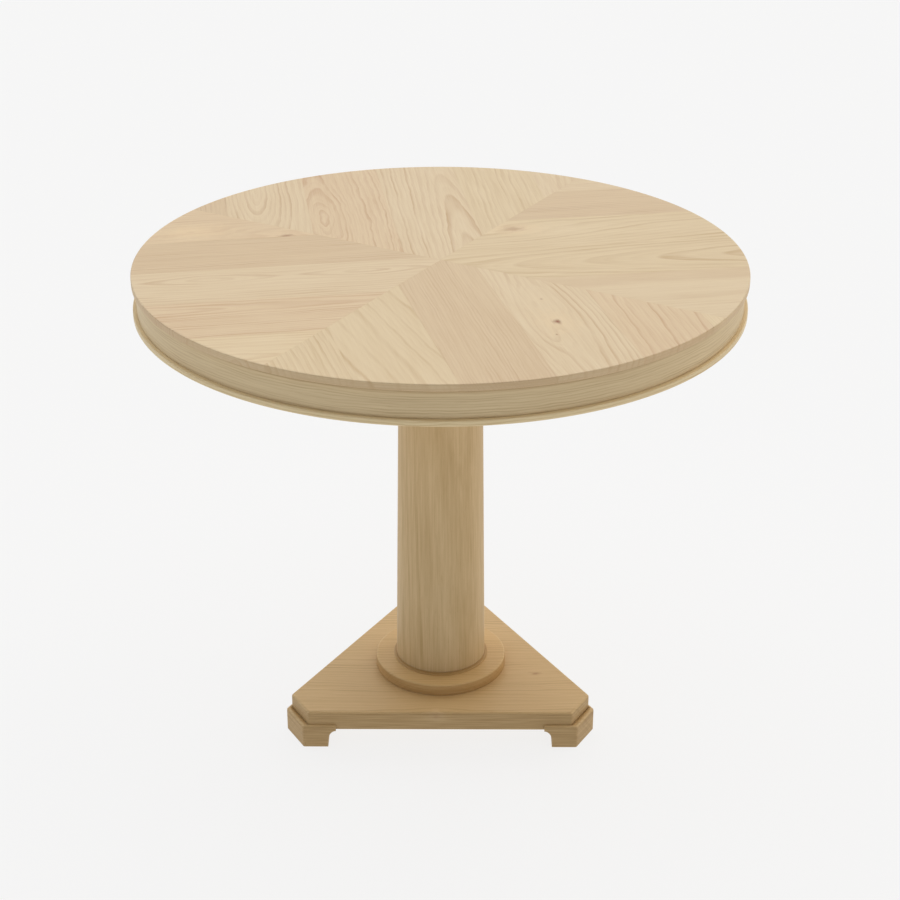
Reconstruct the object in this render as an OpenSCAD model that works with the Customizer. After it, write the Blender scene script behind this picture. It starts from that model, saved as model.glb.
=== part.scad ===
// Dolls' house dining table, 1:12. A round top of leaves laid in four sectors stands on a turned
// column, a collar and a three-cornered plinth with bracket feet.
// The origin is on the floor under the middle of the column. +Z is up, and the front is towards -Y.

/* [Top] */
// Diameter of the round top
top_d = 76.2; // [72:0.1:90]
// Height of the top's surface above the floor
table_h = 63.5; // [50:0.5:80]
// Thickness of the leaves, which is also the height of the lip
leaf_t = 0.85; // [0.5:0.05:1.2]
// Thickness of the core disc under the leaves
core_t = 1.6; // [1.4:0.05:2]

/* [Leaves] */
// Width of one leaf, between two seams
leaf_w = 10.7; // [10:0.1:11]
// Turn of the whole leaf pattern about the column, in degrees
pattern_turn = 15; // [0:1:30]
// Turn of the grain against the middle of its sector: front, right, back, left
grain_turn = [-1, -6, -7, -5]; // [-8:0.5:8]
// Place of each sector's middle seam, across its grain: front, right, back, left
seam_shift = [3.7, 2.65, 4.2, -1.1]; // [-4.5:0.05:4.5]

/* [Drum] */
// Height of the whole drum, from the top's surface to the underside of the bead
drum_h = 5; // [4.8:0.1:6]
// How far the band stands back from the lip and the bead
band_recess = 0.5; // [0.2:0.05:1]
// Thickness of the bent facing on the band
facing_t = 0.5; // [0.3:0.05:0.8]
// Thickness of the ring behind the facing
apron_t = 1.6; // [1:0.1:3]
// Height of the bead
bead_h = 0.7; // [0.4:0.05:0.9]

/* [Under the top] */
// Side of the square block on the column
block_w = 17; // [14:0.5:20]
// Thickness of that block
block_t = 2.05; // [1.8:0.05:2.1]
// Length of each bearer
bearer_l = 56; // [30:1:60]
// Width of each bearer
bearer_w = 4.5; // [3:0.1:5]
// Thickness of each bearer
bearer_t = 1.5; // [1:0.05:1.6]
// How far the underside of a bearer's end is cut back
bearer_bevel = 1; // [0:0.1:2]

/* [Column] */
// Radius of the column at its foot
column_foot_r = 6; // [5:0.1:7]
// Radius of the column at its head
column_head_r = 5.25; // [4.5:0.05:6]
// Radius of the spigot at each end
spigot_r = 3; // [2:0.1:3.5]
// How far the step ring stands out from the column's foot
step_out = 0.38; // [0.2:0.02:0.6]
// Height of the step ring
step_h = 0.25; // [0.15:0.05:1]
// Radius of the collar
collar_r = 8.8; // [8:0.1:9.5]
// Thickness of the collar
collar_t = 1.55; // [1:0.05:3]

/* [Plinth and feet] */
// Distance from the column's centre to a long side of the plinth
plinth_side = 12.95; // [12.5:0.05:14]
// Distance from the column's centre to a clipped corner of the plinth
plinth_corner = 21.5; // [20.8:0.1:22.5]
// Height of the plinth's top above the floor
plinth_top = 5.1; // [4.8:0.1:7]
// Height of the plinth's underside above the floor
plinth_under = 2.5; // [2.2:0.1:2.8]
// Height of a foot's ledge above the floor
ledge_h = 3.25; // [2.9:0.05:4]
// How far a foot stands proud of the plinth's long sides
proud_side = 0.4; // [0.2:0.05:0.6]
// How far a foot stands proud of the plinth's clipped corner
proud_corner = 0.8; // [0.4:0.05:1]
// Width of a foot's front face at the floor
foot_w = 3.25; // [2.5:0.05:4]
// Width of the cove at a foot's inner end
cove_w = 1.05; // [0.5:0.05:1.5]
// Height of that cove
cove_h = 1.55; // [0.5:0.05:2]

/* [Pins and dowels] */
// Radius of the dowels between the feet and the plinth
foot_dowel_r = 0.6; // [0.4:0.05:0.8]
// Radius of the dowels between the block and the core
block_dowel_r = 0.5; // [0.3:0.05:0.7]
// Radius of the brass pins in the bearers
pin_r = 0.3; // [0.2:0.05:0.4]
// Radius of a brass pin's head
pin_head_r = 0.55; // [0.45:0.05:0.7]
// Thickness of a brass pin's head
pin_head_t = 0.2; // [0.1:0.05:0.3]

/* [Hidden] */
$fn = 128;
small_fn = 32;

SECTORS = ["front", "right", "back", "left"];
LEAF_COUNTS = [6, 6, 6, 5];
FEET = ["left", "right", "back"];
FOOT_ANGLES = [210, 330, 90];

LEAF_NODES = [
    for (s = [0:3])
        for (i = [1:LEAF_COUNTS[s]])
            str("leaf_", SECTORS[s], "_", i)
];
FOOT_NODES = [for (f = FEET) str("foot_", f)];

leaf_tones = ["#dcc8a3", "#d3bd97", "#e2cfab", "#cfb78f", "#d9c49e", "#e0cda9"];
band_tone = "#c2ab82";
column_tone = "#bda57c";
base_tone = "#b59b70";
core_tone = "#c9b48c";
block_tone = "#b08f5f";
brass_tone = "#b5914c";

top_r = top_d / 2;
band_r = top_r - band_recess;
apron_r = band_r - facing_t;
core_r = apron_r - apron_t;

core_top = table_h - leaf_t;
core_under = core_top - core_t;
drum_under = table_h - drum_h;
band_under = drum_under + bead_h;
block_under = core_under - block_t;
bearer_under = core_under - bearer_t;
collar_top = plinth_top + collar_t;
step_top = collar_top + step_h;

// The leaves reach past this length before they are cut round, so it only has to be long enough.
reach = top_d;
past = 0.5;

foot_side = plinth_side + proud_side;
foot_corner = plinth_corner + proud_corner;
foot_end = face_place(foot_side, foot_corner) - foot_w;
foot_dowel_place = plinth_corner - 2.1;
foot_dowel_under = 1;
foot_dowel_top = plinth_top - 0.9;

block_dowel_place = block_w / 2 - 2.5;
pin_place = bearer_l / 2 - 7;
bearer_place = (block_w + bearer_w) / 2;
pin_top = core_top - 0.45;

// Half the length of a clipped corner's edge, for long sides at side and clipped corners at corner.
function corner_half(side, corner) = (side - corner * cos(60)) / sin(60);

// How far along a long side, from its middle, the clipped corner starts.
function face_place(side, corner) = corner * sin(60) - corner_half(side, corner) * cos(60);

function turned(p, a) = [p[0] * cos(a) - p[1] * sin(a), p[0] * sin(a) + p[1] * cos(a)];

// Outline of a triangle with its corners clipped square to their own directions.
function clipped_triangle(side, corner) = [
    for (a = FOOT_ANGLES)
        for (e = [-1, 1])
            turned([corner, e * corner_half(side, corner)], a)
];

// The seams of a sector, across its grain. Each side of the middle seam has two, save the left
// sector's low side, which has one.
function low_seams(s) = LEAF_COUNTS[s] - 4;
function seam(s, i) = seam_shift[s] + (i - low_seams(s) - 1) * leaf_w;
function sector_angle(s) = -90 + 90 * s + pattern_turn;

// One leaf: the strip between two seams, inside its sector and inside the round of the top.
module leaf(s, i) {
    low = i == 1 ? -reach : seam(s, i - 1);
    high = i == LEAF_COUNTS[s] ? reach : seam(s, i);
    color(leaf_tones[(i + s) % len(leaf_tones)])
    translate([0, 0, core_top])
    intersection() {
        cylinder(r = top_r, h = leaf_t, $fn = 256);
        rotate(sector_angle(s))
            linear_extrude(leaf_t)
                polygon([[0, 0], [reach, -reach], [reach, reach]]);
        rotate(sector_angle(s) + grain_turn[s])
            translate([-reach, low, 0])
                cube([2 * reach, high - low, leaf_t]);
    }
}

module ring(outer, inner, low, high) {
    translate([0, 0, low])
    difference() {
        cylinder(r = outer, h = high - low, $fn = 256);
        translate([0, 0, -past])
            cylinder(r = inner, h = high - low + 2 * past, $fn = 256);
    }
}

// Places its children at the four corners of a square, or of a rectangle, about the column.
module at_corners(x, y) {
    for (sx = [-1, 1])
        for (sy = [-1, 1])
            translate([sx * x, sy * y, 0])
                children();
}

module peg(r, low, high) {
    translate([0, 0, low])
        cylinder(r = r, h = high - low, $fn = small_fn);
}

module block_dowel_set() {
    at_corners(block_dowel_place, block_dowel_place)
        peg(block_dowel_r, block_under + 0.5, pin_top);
}

module bearer_pin_set() {
    at_corners(pin_place, bearer_place)
        union() {
            peg(pin_head_r, bearer_under, bearer_under + pin_head_t);
            peg(pin_r, bearer_under, pin_top);
        }
}

module foot_dowel_set() {
    for (a = FOOT_ANGLES)
        rotate(a)
            translate([foot_dowel_place, 0, 0])
                peg(foot_dowel_r, foot_dowel_under, foot_dowel_top);
}

module top_core() {
    color(core_tone)
    difference() {
        translate([0, 0, core_under])
            cylinder(r = core_r, h = core_t, $fn = 256);
        block_dowel_set();
        bearer_pin_set();
    }
}

module apron_core() {
    color(core_tone)
        ring(apron_r, core_r, band_under, core_top);
}

module apron_facing() {
    color(band_tone)
        ring(band_r, apron_r, band_under, core_top);
}

module bead_ring() {
    color(band_tone)
        ring(top_r, core_r, drum_under, band_under);
}

module column_block() {
    color(block_tone)
    difference() {
        translate([-block_w / 2, -block_w / 2, block_under])
            cube([block_w, block_w, block_t]);
        peg(spigot_r, block_under - past, core_under + past);
        block_dowel_set();
    }
}

// A batten along X, side = -1 in front of the block and 1 behind it. Its ends are bevelled below.
module bearer(side) {
    half = bearer_l / 2;
    color(block_tone)
    difference() {
        translate([0, side * bearer_place + bearer_w / 2, 0])
            rotate([90, 0, 0])
                linear_extrude(bearer_w)
                    polygon([
                        [-half, core_under],
                        [-half, bearer_under + bearer_t / 2],
                        [-half + bearer_bevel, bearer_under],
                        [half - bearer_bevel, bearer_under],
                        [half, bearer_under + bearer_t / 2],
                        [half, core_under]
                    ]);
        bearer_pin_set();
    }
}

module block_dowels() {
    color(block_tone)
        block_dowel_set();
}

module bearer_pins() {
    color(brass_tone)
        bearer_pin_set();
}

// The column is turned in one piece: lower spigot, step ring, tapered shaft and upper spigot.
module column() {
    color(column_tone)
        rotate_extrude()
            polygon([
                [0, plinth_under],
                [spigot_r, plinth_under],
                [spigot_r, collar_top],
                [column_foot_r + step_out, collar_top],
                [column_foot_r + step_out, step_top],
                [column_foot_r, step_top],
                [column_head_r, block_under],
                [spigot_r, block_under],
                [spigot_r, core_under],
                [0, core_under]
            ]);
}

module collar() {
    color(base_tone)
        ring(collar_r, spigot_r, plinth_top, collar_top);
}

module plinth_board(low, high) {
    translate([0, 0, low])
        linear_extrude(high - low)
            polygon(clipped_triangle(plinth_side, plinth_corner));
}

module plinth() {
    color(base_tone)
    difference() {
        plinth_board(plinth_under, plinth_top);
        peg(spigot_r, plinth_under - past, plinth_top + past);
        foot_dowel_set();
    }
}

// Outline of one foot, with its corner pointing along +X. It runs back along both long sides from
// the clipped corner, and its inner ends are square to them.
function foot_outline() =
    let (
        half = corner_half(foot_side, foot_corner),
        end = foot_end - cove_w,
        end_x = foot_side * cos(60) + end * sin(60),
        end_y = foot_side * sin(60) - end * cos(60)
    )
    [[foot_corner, half], [end_x, end_y], [end / sin(60), 0], [end_x, -end_y], [foot_corner, -half]];

// What is cut away at a foot's inner end, seen square to a long side and measured from its middle:
// straight up from the floor, then in under the plinth in a cove.
module end_cut_elevation() {
    polygon(concat(
        [[foot_end, -past]],
        [for (t = [0:9:90])
            [foot_end + cove_w * (cos(t) - 1), plinth_under + cove_h * (sin(t) - 1)]],
        [[foot_end - cove_w - past, plinth_under], [foot_end - cove_w - past, -past]]
    ));
}

module end_cut() {
    rotate(-30)
        rotate([90, 0, 0])
            translate([0, 0, -foot_side - past])
                linear_extrude(foot_side + past)
                    end_cut_elevation();
}

// One foot, with its corner pointing at angle a. The plinth's corner sits in its rebate.
module foot(a) {
    color(base_tone)
    difference() {
        rotate(a)
            difference() {
                linear_extrude(ledge_h)
                    polygon(foot_outline());
                end_cut();
                mirror([0, 1, 0])
                    end_cut();
            }
        plinth_board(plinth_under, table_h);
        foot_dowel_set();
    }
}

module foot_dowels() {
    color(block_tone)
        foot_dowel_set();
}

for (s = [0:3])
    for (i = [1:LEAF_COUNTS[s]])
        leaf(s, i);
top_core();
apron_core();
apron_facing();
bead_ring();
column_block();
bearer(-1);  // bearer_front
bearer(1);  // bearer_back
block_dowels();
bearer_pins();
column();
collar();
plinth();
for (f = [0:2])
    foot(FOOT_ANGLES[f]);
foot_dowels();
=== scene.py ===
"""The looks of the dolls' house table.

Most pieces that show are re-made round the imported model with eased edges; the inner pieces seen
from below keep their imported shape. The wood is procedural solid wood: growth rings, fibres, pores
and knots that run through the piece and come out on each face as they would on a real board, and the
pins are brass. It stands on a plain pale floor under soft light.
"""
import math
from dataclasses import dataclass, replace

import bmesh
import bpy
from mathutils import Matrix, Vector


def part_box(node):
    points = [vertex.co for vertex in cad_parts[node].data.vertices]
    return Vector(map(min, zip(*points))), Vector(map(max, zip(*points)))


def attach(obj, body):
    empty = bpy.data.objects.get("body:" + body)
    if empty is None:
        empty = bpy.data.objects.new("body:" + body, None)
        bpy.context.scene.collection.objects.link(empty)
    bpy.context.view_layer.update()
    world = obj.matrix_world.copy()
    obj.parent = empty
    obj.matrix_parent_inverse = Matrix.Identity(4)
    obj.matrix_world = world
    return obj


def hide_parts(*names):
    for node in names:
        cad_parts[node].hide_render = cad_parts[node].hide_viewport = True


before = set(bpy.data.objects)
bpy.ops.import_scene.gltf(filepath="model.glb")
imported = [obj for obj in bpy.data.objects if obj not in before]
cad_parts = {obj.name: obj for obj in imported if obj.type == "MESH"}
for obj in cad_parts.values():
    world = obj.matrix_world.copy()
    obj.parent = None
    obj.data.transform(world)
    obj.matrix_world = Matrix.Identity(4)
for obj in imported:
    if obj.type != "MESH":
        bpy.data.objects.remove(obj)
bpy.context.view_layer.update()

MM = 0.001

# Sizes of the table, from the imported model.
TOP_R = -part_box("bead_ring")[0].x
TABLE_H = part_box("top_core")[1].z + (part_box("leaf_front_3")[1].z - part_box("leaf_front_3")[0].z)
CORE_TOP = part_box("top_core")[1].z
CORE_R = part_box("top_core")[1].x
CORE_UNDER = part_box("top_core")[0].z
BAND_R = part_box("apron_facing")[1].x
BAND_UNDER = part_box("apron_facing")[0].z
APRON_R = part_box("apron_core")[1].x
DRUM_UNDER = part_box("bead_ring")[0].z
BLOCK_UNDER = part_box("column_block")[0].z
COLLAR_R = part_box("collar")[1].x
COLLAR_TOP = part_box("collar")[1].z
PLINTH_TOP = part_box("plinth")[1].z
PLINTH_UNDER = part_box("plinth")[0].z
LEDGE_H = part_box("foot_left")[1].z

# Sizes of the turned column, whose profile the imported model's boxes don't tell.
SPIGOT_R = 3.0 * MM
COLUMN_FOOT_R = 6.0 * MM
COLUMN_HEAD_R = 5.25 * MM
STEP_R = 6.38 * MM
STEP_TOP = COLLAR_TOP + 0.25 * MM


# ---------------------------------------------------------------------------------------------
# Shader graphs
# ---------------------------------------------------------------------------------------------

SEED_STEP = (1.31, 2.17, 3.73)  # how far each whole seed moves a noise along x, y and z


@dataclass(frozen=True)
class Pattern:
    """A noise: the lengths of its features along x, y and z, and how rough they are."""

    lengths: tuple
    salt: float = 0.0  # keeps it unlike the other patterns of the same piece
    detail: float = 2.0
    roughness: float = 0.5


class Graph:
    """Adds nodes to a tree and feeds their inputs with other nodes' outputs or plain values."""

    def __init__(self, tree):
        self.tree = tree

    def add(self, kind, inputs=(), **settings):
        """A new node with these settings. inputs has a value for each input's name or index."""
        node = self.tree.nodes.new(kind)
        for name, value in settings.items():
            setattr(node, name, value)
        for key, value in dict(inputs).items():
            self.feed(node.inputs[key], value)
        return node

    def feed(self, socket, value):
        if isinstance(value, bpy.types.NodeSocket):
            self.tree.links.new(value, socket)
        else:
            socket.default_value = value

    def math(self, operation, *values):
        return self.add("ShaderNodeMath", enumerate(values), operation=operation).outputs[0]

    def weighted(self, start, *terms):
        """start plus the value of each term times its weight."""
        total = start
        for value, weight in terms:
            total = self.math("MULTIPLY_ADD", value, weight, total)
        return total

    def squares(self, *values):
        """The sum of the squares of these values."""
        return self.weighted(0.0, *((value, value) for value in values))

    def fall(self, value, rate):
        """1 where value is 0. It falls away as value grows, and faster for a greater rate."""
        return self.math("EXPONENT", self.math("MULTIPLY", value, -rate))

    def vector_math(self, operation, *values):
        node = self.add("ShaderNodeVectorMath", enumerate(values), operation=operation)
        return node.outputs["Value" if operation == "DOT_PRODUCT" else "Vector"]

    def split(self, vector):
        return self.add("ShaderNodeSeparateXYZ", {"Vector": vector}).outputs

    def join(self, x, y, z):
        return self.add("ShaderNodeCombineXYZ", {"X": x, "Y": y, "Z": z}).outputs["Vector"]

    def step(self, value, low, high, start=0.0, end=1.0):
        """Rises smoothly from start to end as value goes from low to high."""
        inputs = {"Value": value, "From Min": low, "From Max": high, "To Min": start, "To Max": end}
        node = self.add("ShaderNodeMapRange", inputs, interpolation_type="SMOOTHSTEP")
        return node.outputs["Result"]

    def noise(self, vector, pattern, seed=0.0):
        """Noise in this pattern. It runs from 0 to 1 round 0.5, and a seed moves it elsewhere."""
        stretch = [1 / length for length in pattern.lengths]
        shift = [(seed + pattern.salt) * step for step in SEED_STEP]
        inputs = {
            "Vector": self.vector_math("MULTIPLY_ADD", vector, stretch, shift),
            "Scale": 1.0,
            "Detail": pattern.detail,
            "Roughness": pattern.roughness,
        }
        return self.add("ShaderNodeTexNoise", inputs).outputs[0]

    def swing(self, noise, size):
        """A noise made to swing about zero. size is about twice its usual swing."""
        return self.math("MULTIPLY", self.math("SUBTRACT", noise, 0.5), 4 * size)

    def mix(self, factor, a, b):
        """A blend of two colours. A Mix node has the sockets for colours at these indices."""
        inputs = {0: factor, 6: a, 7: b}
        return self.add("ShaderNodeMix", inputs, data_type="RGBA", clamp_factor=False).outputs[2]


def colour(code):
    """A colour for a shader from a hex code as an sRGB screen shows it."""
    channels = [int(code[i : i + 2], 16) / 255 for i in (1, 3, 5)]
    return [c / 12.92 if c <= 0.04045 else ((c + 0.055) / 1.055) ** 2.4 for c in channels] + [1.0]


# ---------------------------------------------------------------------------------------------
# Wood
# ---------------------------------------------------------------------------------------------


@dataclass(frozen=True)
class Knot:
    """A knot, placed along and across the grain. Lengths are in millimetres."""

    x: float
    y: float
    reach: float = 2.2  # how far round it the rings bend
    core: float = 0.3  # the radius of its dark middle
    dark: float = 0.8  # how dark that middle is
    halo: float = 0.3  # how strongly the wood round it is stained
    z: float | None = None  # its height. Without one, the knot runs right through the board


@dataclass(frozen=True)
class Wood:
    """A piece of wood and how it was cut from the tree.

    Lengths are in millimetres along the directions of the grain: x along it, y across the face of
    the piece and z out of that face, which is at z = 0.
    """

    pale: str  # the early wood between two lines
    dark: str  # the late wood that draws the lines
    heart: tuple = (0, -90, -20)  # a point that the tree's heart passes, where its swing starts
    tilt: float = 0.0  # how fast the heart rises towards the face
    swell: float = 0.0  # how far the heart swings up and down
    wave: float = 80.0  # the length of one such swing
    slant: float = 0.0  # how fast the lines cross the board
    pitch: float = 0.5  # the width of a ring
    early: float = 0.3  # how much of a ring is early wood
    wander: float = 0.4  # how far the rings stray over the length of a piece
    waver: float = 0.17  # how far they stray over a few millimetres
    lines: float = 0.5  # how strongly the late wood shows
    fibre: float = 1.0  # how strongly the fibres show
    sawn_and_shade: str = ""  # the tone of its upright sides: darker where sawn edges take up the finish, and painted shade on them
    soak_and_shade: float = 0.0  # how far that tone hides the grain
    knots: tuple = ()
    seed: float = 0.0


KNOT_BROWN = "#90532f"
KNOT_HALO = "#ecd2a8"
KNOT_LONG = 1.6  # how many times as long as wide a knot is
KNOT_RAGGED = (0.5, 1.6)  # how its outline strays, as factors of the squared distance from it
HALO_FALL = 1.6  # how soon the halo fades away from it
BEND_LONG = 2.6  # how many times as long as wide is the bend of the rings round it
BEND_FALL = 0.3  # how soon that bend dies out
BEND = 0.9  # how far the rings are pushed aside, against the knot's reach

RING_SWING = 0.4  # how much the widths of the rings differ, in rings
LATE_PEAK = 0.86  # where in a ring its late wood is darkest
FAINTEST_YEAR = 0.3  # how strongly the faintest ring shows, against the strongest
FINE_LINES = 3.0  # the faint lines in each ring
FINE_EARLY = 0.3  # how much of such a line is pale
FINE_STRENGTH = 0.12
FADED = 0.35  # how strongly the lines show where they fade

# How much darker or paler these make the wood.
FIBRE_TONE = 0.12
PORE_TONE = 0.1
CLOUD_TONE = 0.07

# The finish's roughness, and how much these add to it or take away.
ROUGHNESS = 0.5
FIBRE_ROUGHNESS = 0.16
LATE_ROUGHNESS = -0.05

# How far these stand out of the surface or sink into it, against each other.
FIBRE_RELIEF = 0.6
PORE_RELIEF = -0.8
LATE_RELIEF = 0.35

NOISE_SPAN = (0.3, 0.7)  # most of a noise lies between these two
FADE_SPAN = (0.3, 0.65)  # the lines are faded where their noise is low, and whole where it is high
PORE_SPAN = (0.6, 0.74)  # pores are the peaks of theirs
UPRIGHT_SPAN = (0.75, 0.3)  # how level the surface is, on a face and on a sawn edge
SAWN_AND_SHADE_FAINTEST = 0.5  # how strongly the darker side tone, soaked finish and painted shade, shows in its palest streaks
EDGE_SPAN = (0.995, 0.8)  # the cosine of the turn of the surface, beside an edge and on it

# The patterns of wood, in millimetres along, across and through the grain.
DRIFT = Pattern((34, 9, 9))  # how the rings stray over the length of a piece
RAGGED = Pattern((0.9, 0.5, 0.5), salt=11)  # the outline of a knot
RIPPLE = Pattern((5, 1.6, 1.6), salt=23)  # how the rings stray over a few millimetres
FIBRES = Pattern((8, 0.22, 0.22), salt=51, detail=3.0, roughness=0.6)
PORES = Pattern((1.6, 0.1, 0.1), salt=67)
CLOUDS = Pattern((16, 3.5, 3.5), salt=83, detail=3.0)  # broad changes of tone
FADING = Pattern((11, 2.5, 2.5), salt=95)  # where the lines grow faint
YEARS = Pattern((2.4, 1, 1), salt=37, detail=1.0)  # wide and narrow rings, in rings
SAW_MARKS = Pattern((7, 7, 0.16), salt=5)
LATHE_MARKS = Pattern((0.25, 1, 0.25), salt=7, detail=1.0)


def wood_nodes(graph, grain, wood):
    """The colour, the roughness and the relief of a piece of wood at a point of its grain."""
    aside, up, hearts, halos = knot_nodes(graph, grain, wood)
    rings = ring_nodes(graph, grain, wood, aside, up)
    late = late_wood_nodes(graph, grain, wood, rings)
    fibres = graph.noise(grain, FIBRES, wood.seed)
    pores = graph.step(graph.noise(grain, PORES, wood.seed), *PORE_SPAN)
    clouds = graph.noise(grain, CLOUDS, wood.seed)

    brown = graph.weighted(
        0.0,
        (late, wood.lines),
        (graph.swing(fibres, FIBRE_TONE), wood.fibre),
        (pores, PORE_TONE * wood.fibre),
        (graph.swing(clouds, CLOUD_TONE), 1.0),
    )
    body = graph.mix(brown, colour(wood.pale), colour(wood.dark))
    for halo in halos:
        body = graph.mix(halo, body, colour(KNOT_HALO))
    for heart in hearts:
        body = graph.mix(heart, body, colour(KNOT_BROWN))
    roughness = graph.weighted(ROUGHNESS, (fibres, FIBRE_ROUGHNESS), (late, LATE_ROUGHNESS))
    relief = graph.weighted(
        0.0, (fibres, FIBRE_RELIEF), (pores, PORE_RELIEF), (late, LATE_RELIEF)
    )
    return body, roughness, relief


def knot_nodes(graph, grain, wood):
    """How far the knots push the rings aside and up at a point of the grain.

    With these come how strongly the middle of each knot shows there, and its halo.
    """
    x, y, z = graph.split(grain)
    ragged = graph.step(graph.noise(grain, RAGGED, wood.seed), *NOISE_SPAN, *KNOT_RAGGED)
    aside, up, hearts, halos = 0.0, 0.0, [], []
    for knot in wood.knots:
        along = graph.math("DIVIDE", graph.math("SUBTRACT", x, knot.x), knot.reach)
        beside = graph.math("DIVIDE", graph.math("SUBTRACT", y, knot.y), knot.reach)
        above = 0.0
        if knot.z is not None:
            above = graph.math("DIVIDE", graph.math("SUBTRACT", z, knot.z), knot.reach)
        away = graph.squares(graph.math("DIVIDE", along, BEND_LONG), beside, above)
        bend = graph.math("MULTIPLY", graph.fall(away, BEND_FALL), BEND * knot.reach)
        aside = graph.math("MULTIPLY_ADD", beside, bend, aside)
        up = graph.math("MULTIPLY_ADD", above, bend, up)
        near = graph.squares(graph.math("DIVIDE", along, KNOT_LONG), beside, above)
        near = graph.math("MULTIPLY", near, ragged)
        core = graph.fall(near, (knot.reach / knot.core) ** 2)
        hearts.append(graph.math("MULTIPLY", core, knot.dark))
        halos.append(graph.math("MULTIPLY", graph.fall(near, HALO_FALL), knot.halo))
    return aside, up, hearts, halos


def ring_nodes(graph, grain, wood, aside, up):
    """How many rings lie between the heart of the tree and a point of the grain."""
    x, y, z = graph.split(grain)
    across = graph.weighted(
        graph.math("SUBTRACT", y, wood.heart[1]),
        (aside, -1.0),
        (x, -wood.slant),
        (graph.swing(graph.noise(grain, DRIFT, wood.seed), wood.wander), 1.0),
        (graph.swing(graph.noise(grain, RIPPLE, wood.seed), wood.waver), 1.0),
    )
    turn = graph.math("SUBTRACT", x, wood.heart[0])
    turn = graph.math("MULTIPLY", turn, 2 * math.pi / wood.wave)
    heart = graph.weighted(wood.heart[2], (graph.math("SINE", turn), wood.swell), (x, wood.tilt))
    depth = graph.weighted(z, (heart, -1.0), (up, -1.0))
    rings = graph.math("DIVIDE", graph.math("SQRT", graph.squares(across, depth)), wood.pitch)
    uneven = graph.noise(graph.join(rings, 0.0, 0.0), YEARS, wood.seed)
    return graph.math("ADD", rings, graph.swing(uneven, RING_SWING))


def late_wood_nodes(graph, grain, wood, rings):
    """How dark the late wood is. Some years are stronger than others, and all fade in places."""
    year = graph.math("ADD", graph.math("FLOOR", rings), wood.seed)
    year = graph.add("ShaderNodeTexWhiteNoise", {"W": year}, noise_dimensions="1D").outputs["Value"]
    strength = graph.math("POWER", year, 2.0)
    strength = graph.math("MULTIPLY_ADD", strength, 1 - FAINTEST_YEAR, FAINTEST_YEAR)
    late = graph.math("MULTIPLY", ring_lines(graph, rings, wood.early), strength)
    fine = ring_lines(graph, graph.math("MULTIPLY", rings, FINE_LINES), FINE_EARLY)
    late = graph.math("MULTIPLY_ADD", fine, FINE_STRENGTH, late)
    fading = graph.noise(grain, FADING, wood.seed)
    return graph.math("MULTIPLY", late, graph.step(fading, *FADE_SPAN, FADED, 1.0))


def ring_lines(graph, rings, early):
    """The late wood of each ring: it darkens after the early wood and ends more sharply."""
    age = graph.math("FRACT", rings)
    rising = graph.step(age, early, LATE_PEAK)
    return graph.math("SUBTRACT", rising, graph.step(age, LATE_PEAK, 1.0))


def sawn_and_shaded_nodes(graph):
    """How strongly the upright sides of a level board darken, with soaked-up finish and painted
    shade: streaks there, 0 on its faces.
    """
    upward = graph.split(graph.add("ShaderNodeNewGeometry").outputs["Normal"])[2]
    upright = graph.step(graph.math("ABSOLUTE", upward), *UPRIGHT_SPAN)
    marks = graph.noise(straight_grain(graph), SAW_MARKS)
    streaks = graph.step(marks, *NOISE_SPAN, SAWN_AND_SHADE_FAINTEST, 1.0)
    return graph.math("MULTIPLY", upright, streaks)


def turning_nodes(graph):
    """The rings that a lathe tool leaves round the table's axis, on sides and flat faces alike."""
    x, y, z = graph.split(straight_grain(graph))
    out = graph.math("SQRT", graph.squares(x, y))
    return graph.noise(graph.join(out, 0.0, z), LATHE_MARKS)


def edge_nodes(graph, width):
    """1 on an edge of the piece, where a rounding this wide would turn the surface. 0 elsewhere."""
    rounded = graph.add("ShaderNodeBevel", {"Radius": width}, samples=4).outputs["Normal"]
    normal = graph.add("ShaderNodeNewGeometry").outputs["Normal"]
    alike = graph.vector_math("DOT_PRODUCT", rounded, normal)
    return graph.step(alike, *EDGE_SPAN)


def straight_grain(graph, angle=0.0, face=0.0):
    """Level grain at this angle from +X towards +Y. face is the height of the piece's face."""
    place = graph.add("ShaderNodeTexCoord").outputs["Object"]
    place = graph.vector_math("SUBTRACT", place, (0, 0, face))
    inputs = {"Vector": place, "Rotation": (0, 0, -math.radians(angle)), "Scale": [1 / MM] * 3}
    return graph.add("ShaderNodeMapping", inputs, vector_type="POINT").outputs["Vector"]


def upright_grain(graph):
    """Grain that runs up a piece. Its face is the plane through the table's axis."""
    x, y, z = graph.split(straight_grain(graph))
    return graph.join(z, x, y)


def bent_grain(graph, radius):
    """Grain that runs round the table's axis, as in a bent strip. Its ends meet at the back."""
    x, y, z = graph.split(straight_grain(graph))
    turn = graph.math("ARCTAN2", x, graph.math("MULTIPLY", y, -1.0))
    out = graph.math("SUBTRACT", graph.math("SQRT", graph.squares(x, y)), radius / MM)
    return graph.join(graph.math("MULTIPLY", turn, radius / MM), z, out)


def material(name):
    """An empty material, with the graph of its nodes and its surface shader."""
    made = bpy.data.materials.new(name)
    made.use_nodes = True
    graph = Graph(made.node_tree)
    return made, graph, made.node_tree.nodes["Principled BSDF"]


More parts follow.
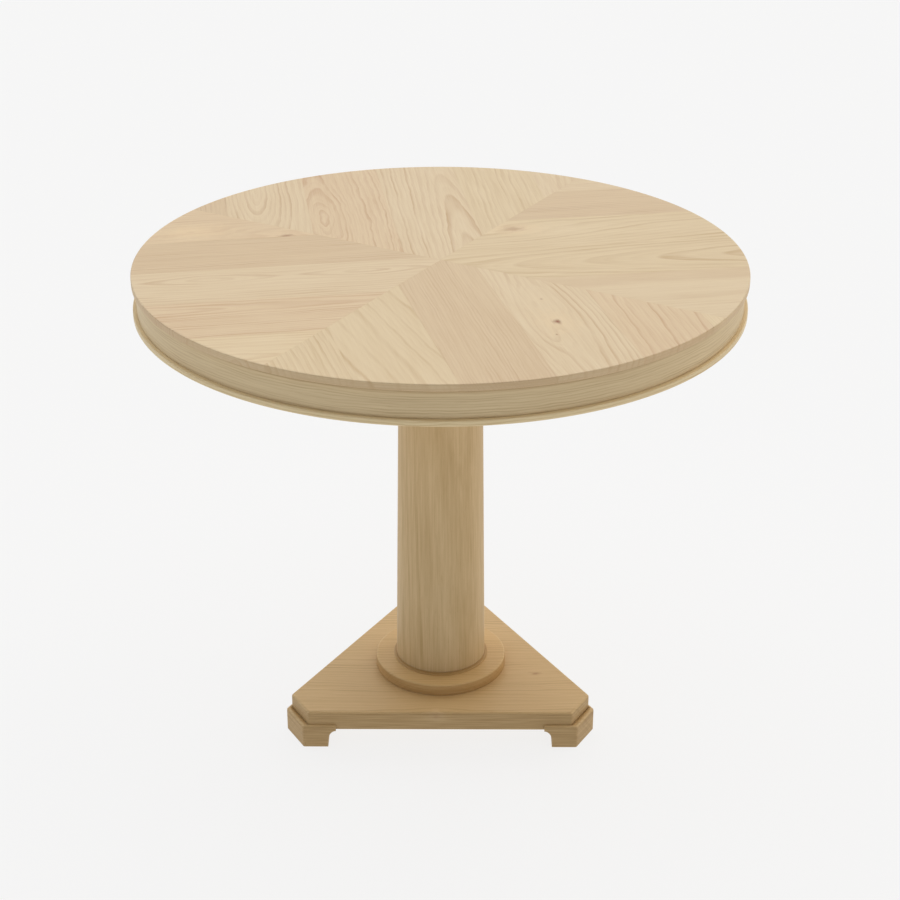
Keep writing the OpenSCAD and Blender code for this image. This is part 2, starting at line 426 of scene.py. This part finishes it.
WORN_AND_HIGHLIGHT_TONE = "#dcc193"  # where an edge is rubbed, and a painted highlight along it
WORN_AND_HIGHLIGHT_WIDTH = 0.22 * MM
WORN_SMOOTHER = 0.08  # how much less rough a rubbed edge is
GATHERED_AND_SHADE_TONE = "#8d6b41"  # where the finish gathered in a joint, and painted shade there
SOAKED_TONE = "#c9a56c"  # where the wood took it up
GATHERED_AND_SHADE_CORE = 0.2  # how much of the width of a joint's dark line, gathered finish and painted shade, is at its darkest
SOAKED_FROM = 0.08  # just above the joint
SOAKED_TO = 0.02
SPECULAR = 0.35  # below the usual 0.5, since a matt finish mirrors little
BUMP_STRENGTH = 0.35
BUMP_HEIGHT = 0.02 * MM


@dataclass(frozen=True)
class Seam:
    """A level joint, darkened along it by gathered finish and painted shade."""

    height: float  # above the floor, in metres
    width: float  # how far the dark line, gathered finish and painted shade, reaches up and down from the joint, in millimetres
    dark: float  # how dark it is there
    soaked: float = 0.0  # how much of the finish the wood below the joint has taken up


def wood_material(
    name, wood, grain=straight_grain, wear_and_highlight=0.15, seam=None, turned_marks=0.0, **grain_options
):
    """Wood under a thin matt finish.

    One argument says how pale its edges are made, by wear and a painted highlight, and turned_marks
    how deep the marks of the lathe are.
    """
    made, graph, shader = material(name)
    body, roughness, relief = wood_nodes(graph, grain(graph, **grain_options), wood)
    # Its upright sides take a darker tone: finish soaked into the sawn wood, and painted shade.
    if wood.sawn_and_shade:
        sawn_and_shade = graph.math("MULTIPLY", sawn_and_shaded_nodes(graph), wood.soak_and_shade)
        body = graph.mix(sawn_and_shade, body, colour(wood.sawn_and_shade))
    # A dark line along a joint: gathered finish and painted shade.
    if seam is not None:
        body = seam_nodes(graph, body, seam)
    if turned_marks:
        relief = graph.math("MULTIPLY_ADD", turning_nodes(graph), turned_marks, relief)
    # Its edges are paler: rubbed wear, and a painted highlight.
    rubbed_and_highlit = edge_nodes(graph, WORN_AND_HIGHLIGHT_WIDTH)
    body = graph.mix(graph.math("MULTIPLY", rubbed_and_highlit, wear_and_highlight), body, colour(WORN_AND_HIGHLIGHT_TONE))
    roughness = graph.weighted(roughness, (rubbed_and_highlit, -WORN_SMOOTHER))
    bumps = {"Height": relief, "Strength": BUMP_STRENGTH, "Distance": BUMP_HEIGHT}
    graph.feed(shader.inputs["Base Color"], body)
    graph.feed(shader.inputs["Roughness"], roughness)
    graph.feed(shader.inputs["Normal"], graph.add("ShaderNodeBump", bumps).outputs["Normal"])
    shader.inputs["Specular IOR Level"].default_value = SPECULAR
    return made


def seam_nodes(graph, body, seam):
    """The colour of a piece with its joint: soaked below it, and darkest along it with gathered
    finish and painted shade.
    """
    above = graph.math("SUBTRACT", graph.split(straight_grain(graph))[2], seam.height / MM)
    soaked = graph.step(above, SOAKED_FROM, SOAKED_TO, 0.0, seam.soaked)
    body = graph.mix(soaked, body, colour(SOAKED_TONE))
    away = graph.math("ABSOLUTE", above)
    gathered_and_shaded = graph.step(away, seam.width, GATHERED_AND_SHADE_CORE * seam.width, 0.0, seam.dark)
    return graph.mix(gathered_and_shaded, body, colour(GATHERED_AND_SHADE_TONE))


def brass_material():
    """Drawn brass, dull in clouds and finely scratched."""
    made, graph, shader = material("drawn_brass")
    place = straight_grain(graph)
    cloud = graph.noise(place, Pattern((0.5, 0.5, 0.5), salt=3, detail=4.0))
    scratches = graph.noise(place, Pattern((0.05, 0.6, 0.05), salt=9))
    graph.feed(shader.inputs["Base Color"], graph.mix(cloud, colour("#c79b4e"), colour("#9a7136")))
    graph.feed(shader.inputs["Roughness"], graph.step(scratches, 0.2, 0.8, 0.25, 0.5))
    shader.inputs["Metallic"].default_value = 1.0
    return made


# ---------------------------------------------------------------------------------------------
# Meshes
# ---------------------------------------------------------------------------------------------


ROUND_STEPS = 288  # the sides of a turned piece
EASING_STEPS = 5  # the sides of each rounded corner of its outline
SMOOTH_UNDER = math.radians(35)  # edges that turn by more than this stay sharp
EASED_OVER = math.radians(25)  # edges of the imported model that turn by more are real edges
FLAT_WITHIN = math.radians(0.5)  # faces that differ by less than this become one
SAME_POINT = 0.001 * MM
JOINT_GAP = 0.04 * MM  # between the two ends of a bent strip
LARGEST_FACE = 100  # the weight at which the largest faces count most


def show(mesh, name, node, surface):
    """Puts a finished mesh in the scene as the piece that stands for a CAD node."""
    piece = bpy.data.objects.new(name, mesh)
    bpy.context.scene.collection.objects.link(piece)
    mesh.materials.append(surface)
    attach(piece, "root")
    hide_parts(node)
    return piece


def mesh_from(shape, name):
    """A mesh from a bmesh, smooth but for its sharp edges."""
    bmesh.ops.recalc_face_normals(shape, faces=shape.faces)
    mesh = bpy.data.meshes.new(name)
    shape.to_mesh(mesh)
    shape.free()
    mesh.shade_smooth()
    mesh.set_sharp_from_angle(angle=SMOOTH_UNDER)
    return mesh


def flat_faced(piece):
    """Keeps the light even on the flat faces of a piece, and bends it only on its easings."""
    flat = piece.modifiers.new("flat faces", "WEIGHTED_NORMAL")
    flat.weight = LARGEST_FACE
    flat.keep_sharp = True
    return piece


def eased_outline(corners, easing):
    """The corners of a closed outline, each rounded to its own radius. With 0 it stays sharp."""
    points = []
    for i, (corner, radius) in enumerate(zip(corners, easing)):
        here = Vector(corner)
        before = (Vector(corners[i - 1]) - here).normalized()
        after = (Vector(corners[(i + 1) % len(corners)]) - here).normalized()
        if radius == 0:
            points.append(here)
            continue
        half = before.angle(after) / 2
        centre = here + (before + after).normalized() * (radius / math.sin(half))
        start = (here + before * (radius / math.tan(half)) - centre).normalized()
        end = (here + after * (radius / math.tan(half)) - centre).normalized()
        for k in range(EASING_STEPS + 1):
            points.append(centre + start.slerp(end, k / EASING_STEPS) * radius)
    return points


def turned(name, node, surface, corners, easing, joint=None):
    """A piece turned about the table's axis from an outline of (radius, height) corners.

    joint is the angle at which a bent strip's two ends meet, with a hair's gap. Without it the
    ring is whole. Corners on the axis close the ends of a solid turning.
    """
    outline = eased_outline(corners, easing)
    gap = 0.0 if joint is None else JOINT_GAP / TOP_R
    first = 0.0 if joint is None else math.radians(joint) + gap / 2
    count = ROUND_STEPS if joint is None else ROUND_STEPS + 1
    sweep = 2 * math.pi - gap
    shape = bmesh.new()
    rows = []
    for point in outline:
        if point.x < SAME_POINT:
            rows.append([shape.verts.new((0, 0, point.y))] * count)
            continue
        angles = [first + sweep * k / ROUND_STEPS for k in range(count)]
        rows.append([
            shape.verts.new((point.x * math.cos(a), point.x * math.sin(a), point.y)) for a in angles
        ])
    for low, high in zip(rows, rows[1:] + rows[:1]):
        for k in range(ROUND_STEPS):
            after = (k + 1) % count
            around = dict.fromkeys((low[k], low[after], high[after], high[k]))
            if len(around) > 2:
                shape.faces.new(around)
    if joint is not None:
        for k in (0, -1):
            shape.faces.new([row[k] for row in rows])
    mesh = mesh_from(shape, name)
    return flat_faced(show(mesh, name, node, surface))


def eased(name, node, surface, width_of, segments=3):
    """A copy of a CAD node with its sharp edges eased. width_of says how wide for each of them."""
    shape = bmesh.new()
    shape.from_mesh(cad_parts[node].data)
    bmesh.ops.remove_doubles(shape, verts=shape.verts, dist=SAME_POINT)
    bmesh.ops.dissolve_limit(
        shape, angle_limit=FLAT_WITHIN, verts=shape.verts, edges=shape.edges
    )
    weights = shape.edges.layers.float.new("bevel_weight_edge")
    sharp = [edge for edge in shape.edges if edge.calc_face_angle(0.0) > EASED_OVER]
    widths = {edge: width_of(edge) for edge in sharp}
    widest = max(widths.values())
    for edge, width in widths.items():
        edge[weights] = width / widest
    piece = show(mesh_from(shape, name), name, node, surface)
    easing = piece.modifiers.new("eased edges", "BEVEL")
    easing.limit_method = "WEIGHT"
    easing.width = widest
    easing.segments = segments
    return flat_faced(piece)


# ---------------------------------------------------------------------------------------------
# The top
# ---------------------------------------------------------------------------------------------

# Which way the grain of each sector runs, in degrees from +X towards +Y.
SECTOR_GRAIN = {"front": 284, "right": 9, "back": 98, "left": 190}

# The tones of the leaves, from the lightest to the darkest.
MILK = Wood(pale="#e3cda7", dark="#c59f6c")
PALE = Wood(pale="#e0caa6", dark="#bf9869")
STRAW = Wood(pale="#dfc9a3", dark="#b9935c")
TAN = Wood(pale="#dec5a0", dark="#bb8b5e")
ROSE = Wood(pale="#d9c09b", dark="#b68d65")

# How each leaf was cut. The tones and the growth rings differ from leaf to leaf.
LEAVES = {
    "front_1": replace(STRAW, pitch=0.7, lines=0.6, slant=0.05),
    "front_2": replace(STRAW, pitch=2.3, early=0.68, lines=0.7, slant=0.17, wander=0.7, fibre=0.6),
    "front_3": replace(ROSE, pitch=0.36, lines=0.35, heart=(0, -60, -40), slant=-0.02),
    "front_4": replace(
        PALE, heart=(0, 60, -12), pitch=0.9, early=0.45, lines=0.55,
        knots=(
            Knot(22.9, 8.2, reach=2.6, core=0.36, dark=0.95, halo=0.4),
            Knot(15.7, 8.4, reach=1.2, core=0.12, dark=0.5, halo=0.1),
            Knot(26.6, 7.0, reach=0.8, core=0.1, dark=0.6, halo=0.1),
        ),
    ),
    "front_5": replace(TAN, heart=(0, 58, -10), pitch=1.1, early=0.5, lines=0.55, slant=-0.05),
    "front_6": replace(MILK, lines=0.3),
    "right_1": replace(PALE, pitch=0.8, lines=0.4),
    "right_2": replace(PALE, heart=(0, -8, -32), pitch=0.9, lines=0.35, wander=0.8),
    "right_3": replace(
        STRAW, heart=(0, -3.2, -8.3), tilt=0.066, pitch=0.6, lines=0.7, wander=0.2, seed=12,
    ),
    "right_4": replace(
        STRAW, heart=(0, -50, -8), pitch=1.1, early=0.45, lines=0.55, slant=0.14,
        knots=(Knot(11.0, 9.9, reach=2.6, core=0.8, dark=0.42, halo=0.5),),
    ),
    "right_5": replace(ROSE, lines=0.45, heart=(0, 70, -30)),
    "right_6": replace(PALE, lines=0.4),
    "back_1": replace(PALE, pitch=0.9, lines=0.4, slant=-0.1),
    "back_2": replace(STRAW, pitch=0.8, lines=0.4, slant=-0.04),
    "back_3": replace(
        PALE, heart=(0, -4.4, -1.8), tilt=-0.05, pitch=0.6, lines=0.75, wander=0.2, seed=6,
    ),
    "back_4": replace(
        TAN, heart=(17.6, 13.2, 0), swell=2.6, wave=84, pitch=0.7, lines=0.6, wander=0.3, waver=0.3,
    ),
    "back_5": replace(PALE, heart=(0, 21.7, -5), tilt=0.17, pitch=0.7, lines=0.65, wander=0.3),
    "back_6": replace(ROSE, lines=0.35),
    "left_1": replace(
        TAN, heart=(0, -24, -4), tilt=0.06, pitch=0.7, lines=0.45, wander=1.2,
        knots=(
            Knot(30.0, -15.4, reach=3.2, dark=0.1, halo=0.6),
            Knot(18.0, -12.0, core=0.5, dark=0.65),
        ),
    ),
    "left_2": replace(ROSE, pitch=0.4, lines=0.5, heart=(0, -60, -30)),
    "left_3": replace(
        PALE, heart=(9.5, 2.1, 0), swell=1.4, wave=38.2, pitch=0.75, lines=0.55, wander=0.15,
        seed=17,
    ),
    "left_4": replace(TAN, heart=(27, 11.8, -1.4), swell=0.6, wave=70, lines=0.6),
    "left_5": replace(
        MILK, heart=(0, 26.5, -3.7), tilt=0.1, pitch=0.8, lines=0.7, wander=0.2, seed=3,
    ),
}

RIM_TONE = "#ceb28a"  # the sawn ends of the leaves round the rim, with painted shade on that upright face too
RIM_SOAK_AND_SHADE = 0.85
RIM_EASE = 0.12 * MM
RIM_UNDER_EASE = 0.08 * MM
SEAM_EASE = 0.02 * MM
HAIR = 0.01 * MM  # two heights or radii closer than this are the same


def leaf_easing(edge):
    """The rim of a leaf is rounded by hand, and its seams only have their sharpness taken off."""
    a, b = (vertex.co for vertex in edge.verts)
    rim = min(a.xy.length, b.xy.length) > TOP_R - HAIR
    top = min(a.z, b.z) > TABLE_H - HAIR
    level = abs(a.z - b.z) < HAIR
    if rim and level:
        return RIM_EASE if top else RIM_UNDER_EASE
    return SEAM_EASE if top or not level else 0.0


def make_leaves():
    """Every leaf, each with the grain of its sector and a cut of its own."""
    for number, (name, wood) in enumerate(LEAVES.items()):
        sector = name.split("_")[0]
        wood = replace(wood, seed=7.0 * number + wood.seed, sawn_and_shade=RIM_TONE, soak_and_shade=RIM_SOAK_AND_SHADE)
        angle = SECTOR_GRAIN[sector]
        surface = wood_material(f"leaf_wood_{name}", wood, angle=angle, face=TABLE_H)
        eased(f"{name}_leaf", f"leaf_{name}", surface, leaf_easing)


# ---------------------------------------------------------------------------------------------
# The drum, the column and the base
# ---------------------------------------------------------------------------------------------

BAND_WOOD = Wood(
    pale="#dcc69d", dark="#b3966a", heart=(0, 130, -30), pitch=0.34, lines=0.7, wander=0.25,
    fibre=1.5, seed=201,
)
# The bead's wood is a paler copy of the band's: painted light on the thin bead below the lip.
BEAD_WOOD = replace(BAND_WOOD, pale="#e7d2a7", dark="#c5a876", heart=(0, 110, -30), seed=213)
COLUMN_WOOD = Wood(
    pale="#d0b588", dark="#ae8f59", heart=(0, -2.0, 3.0), tilt=0.03, pitch=0.5, lines=0.4,
    wander=0.5, fibre=2.4, seed=227,
)
# The base's upright sides take a darker tone: soaked-up finish, and painted shade on them.
BASE_WOOD = Wood(
    pale="#d5b888", dark="#b59665", heart=(0, -30, -14), pitch=0.6, lines=0.65, wander=0.8,
    fibre=1.4, sawn_and_shade="#916d3a", soak_and_shade=0.64,
    knots=(
        Knot(12.9, -3.3, reach=1.2, core=0.35, dark=0.5, halo=0.1),
        Knot(-0.5, -12.9, reach=0.9, core=0.35, dark=0.3, halo=0.5, z=-0.5),
    ),
    seed=241,
)
# The collar's side takes its own darker tone: soaked-up finish, and painted shade.
COLLAR_WOOD = replace(
    BASE_WOOD, pale="#dabb87", dark="#bb9861", sawn_and_shade="#b98d52", soak_and_shade=0.6, knots=(), seed=257,
)
FOOT_WOOD = replace(BASE_WOOD, heart=(0, -40, -20), knots=(), seed=263)
# The plywood of the drum, on its face and on its laid edge. Both show only from below.
PLY_WOOD = Wood(
    pale="#ddc599", dark="#c3a270", heart=(0, -4, -30), pitch=1.6, lines=0.6, wander=1.6, seed=271,
)
LAID_PLY = Wood(
    pale="#d9c093", dark="#aa8755", heart=(0, 60, -60), pitch=0.5, lines=0.9, wander=0.0, seed=283,
)
BLOCK_WOOD = Wood(pale="#c19a66", dark="#97703e", heart=(0, 6, -12), pitch=0.9, lines=0.7, seed=293)
DOWEL_WOOD = Wood(pale="#d0ae79", dark="#a17a47", heart=(0, 5, -5), lines=0.6, seed=307)

# The dark lines under the lip and round the column's foot: gathered finish and painted shade.
BAND_SEAM = Seam(CORE_TOP, width=0.5, dark=0.65)
STEP_SEAM = Seam(STEP_TOP, width=0.22, dark=0.35, soaked=0.9)
LATHE_DEPTH = 0.5  # how deep the marks of the lathe are, against the relief of the fibres

# Where the ends of the bent strips meet, in degrees from +X towards +Y: round the back.
BAND_JOINT = 96
BEAD_JOINT = 84

FACE_EASE = 0.05 * MM
BEAD_EASE = 0.1 * MM
COLLAR_EASE = 0.28 * MM
STEP_EASE = 0.22 * MM
BOARD_EASE = 0.3 * MM
CORNER_EASE = 0.28 * MM
UNDER_EASE = 0.1 * MM
PIN_EASE = 0.1 * MM
SHORTEST_EASED = 0.6 * MM  # a bore's edge comes in shorter pieces, and stays sharp


def make_band():
    band = wood_material("band_wood", BAND_WOOD, grain=bent_grain, seam=BAND_SEAM, radius=BAND_R)
    corners = [
        (APRON_R, BAND_UNDER),
        (BAND_R, BAND_UNDER),
        (BAND_R, CORE_TOP),
        (APRON_R, CORE_TOP),
    ]
    easing = [0, FACE_EASE, FACE_EASE, 0]
    turned("band_facing", "apron_facing", band, corners, easing, joint=BAND_JOINT)


def make_bead():
    bead = wood_material("bead_wood", BEAD_WOOD, grain=bent_grain, radius=TOP_R)
    corners = [
        (CORE_R, DRUM_UNDER),
        (TOP_R, DRUM_UNDER),
        (TOP_R, BAND_UNDER),
        (CORE_R, BAND_UNDER),
    ]
    easing = [FACE_EASE, BEAD_EASE, BEAD_EASE, 0]
    turned("bead", "bead_ring", bead, corners, easing, joint=BEAD_JOINT)


def make_column():
    surface = wood_material(
        "column_wood", COLUMN_WOOD, grain=upright_grain, seam=STEP_SEAM, turned_marks=LATHE_DEPTH
    )
    corners = [
        (0, PLINTH_UNDER),
        (SPIGOT_R, PLINTH_UNDER),
        (SPIGOT_R, COLLAR_TOP),
        (STEP_R, COLLAR_TOP),
        (STEP_R, STEP_TOP),
        (COLUMN_FOOT_R, STEP_TOP),
        (COLUMN_HEAD_R, BLOCK_UNDER),
        (SPIGOT_R, BLOCK_UNDER),
        (SPIGOT_R, CORE_UNDER),
        (0, CORE_UNDER),
    ]
    easing = [0, 0, 0, 0, STEP_EASE, 0, STEP_EASE, 0, 0, 0]
    turned("turned_column", "column", surface, corners, easing)


def make_collar():
    surface = wood_material("collar_wood", COLLAR_WOOD, turned_marks=LATHE_DEPTH, face=COLLAR_TOP)
    corners = [
        (SPIGOT_R, PLINTH_TOP),
        (COLLAR_R, PLINTH_TOP),
        (COLLAR_R, COLLAR_TOP),
        (SPIGOT_R, COLLAR_TOP),
    ]
    turned("round_collar", "collar", surface, corners, [0, UNDER_EASE, COLLAR_EASE, 0])


def board_easing(top):
    """The easing of a board whose top is at this height. Its bores and its rebates stay sharp."""

    def width(edge):
        a, b = (vertex.co for vertex in edge.verts)
        outward = sum((face.normal for face in edge.link_faces), Vector())
        if edge.calc_length() < SHORTEST_EASED or outward.xy.dot((a + b).xy) < 0:
            return 0.0
        if min(a.z, b.z) > top - HAIR:
            return BOARD_EASE
        return CORNER_EASE if abs(a.z - b.z) > HAIR else UNDER_EASE

    return width


def make_plinth():
    surface = wood_material("plinth_wood", BASE_WOOD, wear_and_highlight=0.5, face=PLINTH_TOP)
    eased("plinth_board", "plinth", surface, board_easing(PLINTH_TOP))


def make_feet():
    for number, side in enumerate(("left", "right", "back")):
        wood = replace(FOOT_WOOD, seed=FOOT_WOOD.seed + 5 * number)
        surface = wood_material(f"foot_wood_{side}", wood, wear_and_highlight=0.35, face=LEDGE_H)
        eased(f"{side}_foot", f"foot_{side}", surface, board_easing(LEDGE_H))


def plain_easing(edge):
    """The same light easing on every long edge. The short ones are those of bores."""
    return UNDER_EASE if edge.calc_length() > SHORTEST_EASED else 0.0


def make_underside():
    """The pieces that only show from below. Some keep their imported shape."""
    block = wood_material("block_wood", BLOCK_WOOD)
    eased("glued_block", "column_block", block, plain_easing)
    for side in ("front", "back"):
        eased(f"{side}_bearer", f"bearer_{side}", block, plain_easing)
    eased("veneer_pins", "bearer_pins", brass_material(), lambda edge: PIN_EASE, segments=2)
    inner = {
        "top_core": wood_material("ply_face", PLY_WOOD, angle=40),
        "apron_core": wood_material("ply_edge", LAID_PLY, grain=bent_grain, radius=APRON_R),
        "block_dowels": wood_material("dowel_wood", DOWEL_WOOD, grain=upright_grain),
    }
    inner["foot_dowels"] = inner["block_dowels"]
    for node, surface in inner.items():
        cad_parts[node].material_slots[0].material = surface


# ---------------------------------------------------------------------------------------------
# The studio
# ---------------------------------------------------------------------------------------------


def soft_light(name, towards, spread, strength, tint="#ffffff"):
    """Light from a wide patch of sky, as a studio's softbox gives.

    towards points at its middle, and spread is its width in degrees. A white sheet that faces it
    comes out this strong.
    """
    lamp = bpy.data.lights.new(name, "SUN")
    lamp.angle = math.radians(spread)
    lamp.energy = strength * math.pi
    lamp.color = colour(tint)[:3]
    made = bpy.data.objects.new(name, lamp)
    bpy.context.scene.collection.objects.link(made)
    made.rotation_euler = Vector(towards).to_track_quat("Z", "Y").to_euler()


FLOOR_R = 3.5  # metres, so that its edge stays out of sight
FLOOR_TONE = "#5f5f5f"
FLOOR_GLOW = 0.82  # what it gives out by itself, which keeps the shadow on it faint
HORIZON_GLOW = 0.9
ROOM_GLOW = 0.22
HORIZON_SPAN = (0.0, 0.1)  # how far above the horizon the one gives way to the other


def make_floor():
    """A wide sheet of plain paper."""
    sheet = bmesh.new()
    bmesh.ops.create_circle(sheet, cap_ends=True, segments=96, radius=FLOOR_R)
    floor_mesh = bpy.data.meshes.new("floor")
    sheet.to_mesh(floor_mesh)
    sheet.free()
    floor = bpy.data.objects.new("floor", floor_mesh)
    bpy.context.scene.collection.objects.link(floor)
    paper, _, shader = material("floor_paper")
    shader.inputs["Base Color"].default_value = colour(FLOOR_TONE)
    shader.inputs["Emission Color"].default_value = (1, 1, 1, 1)
    shader.inputs["Emission Strength"].default_value = FLOOR_GLOW
    shader.inputs["Roughness"].default_value = 0.9
    shader.inputs["Specular IOR Level"].default_value = 0.0
    floor_mesh.materials.append(paper)


def make_room():
    """Light from all round, brightest at the horizon and dim above it."""
    world = bpy.data.worlds.new("studio")
    world.use_nodes = True
    graph = Graph(world.node_tree)
    background = world.node_tree.nodes["Background"]
    upward = graph.split(graph.add("ShaderNodeTexCoord").outputs["Generated"])[2]
    background.inputs["Color"].default_value = (1, 1, 1, 1)
    glow = graph.step(upward, *HORIZON_SPAN, HORIZON_GLOW, ROOM_GLOW)
    graph.feed(background.inputs["Strength"], glow)
    bpy.context.scene.world = world
    bpy.context.scene.view_settings.view_transform = "Standard"


def make_lights():
    soft_light("overhead", (0, 0, 1), 60, 0.19)
    soft_light("back_left", (-0.5, 1, 0.64), 70, 0.27)
    soft_light("back_right", (0.5, 1, 0.64), 70, 0.27)
    soft_light("left_side", (-1, 0.35, 0.8), 70, 0.16, "#eaf2ff")
    soft_light("right_side", (1, 0.3, 0.8), 70, 0.25, "#fff0dc")


# The camera, in radii of the top and degrees. Its reach is its focal length in sensor widths.
CAMERA_SIDE = 0.035
CAMERA_BACK = 5.872
CAMERA_HEIGHT = 3.833
CAMERA_PITCH = 25.93
CAMERA_TURN = 0.03
CAMERA_ROLL = 0.13
CAMERA_REACH = 2.1234


def make_camera():
    lens = bpy.data.cameras.new("camera")
    lens.sensor_width = 36  # millimetres, as its focal length is
    lens.lens = CAMERA_REACH * lens.sensor_width
    lens.clip_start = 0.01
    lens.clip_end = 20
    camera = bpy.data.objects.new("camera", lens)
    bpy.context.scene.collection.objects.link(camera)
    place = Matrix.Translation(Vector((CAMERA_SIDE, -CAMERA_BACK, CAMERA_HEIGHT)) * TOP_R)
    turn = Matrix.Rotation(math.radians(CAMERA_TURN), 4, "Z")
    pitch = Matrix.Rotation(math.radians(90 - CAMERA_PITCH), 4, "X")
    roll = Matrix.Rotation(math.radians(CAMERA_ROLL), 4, "Z")
    camera.matrix_world = place @ turn @ pitch @ roll
    bpy.context.scene.camera = camera


make_camera()
make_leaves()
make_band()
make_bead()
make_column()
make_collar()
make_plinth()
make_feet()
make_underside()
make_floor()
make_room()
make_lights()
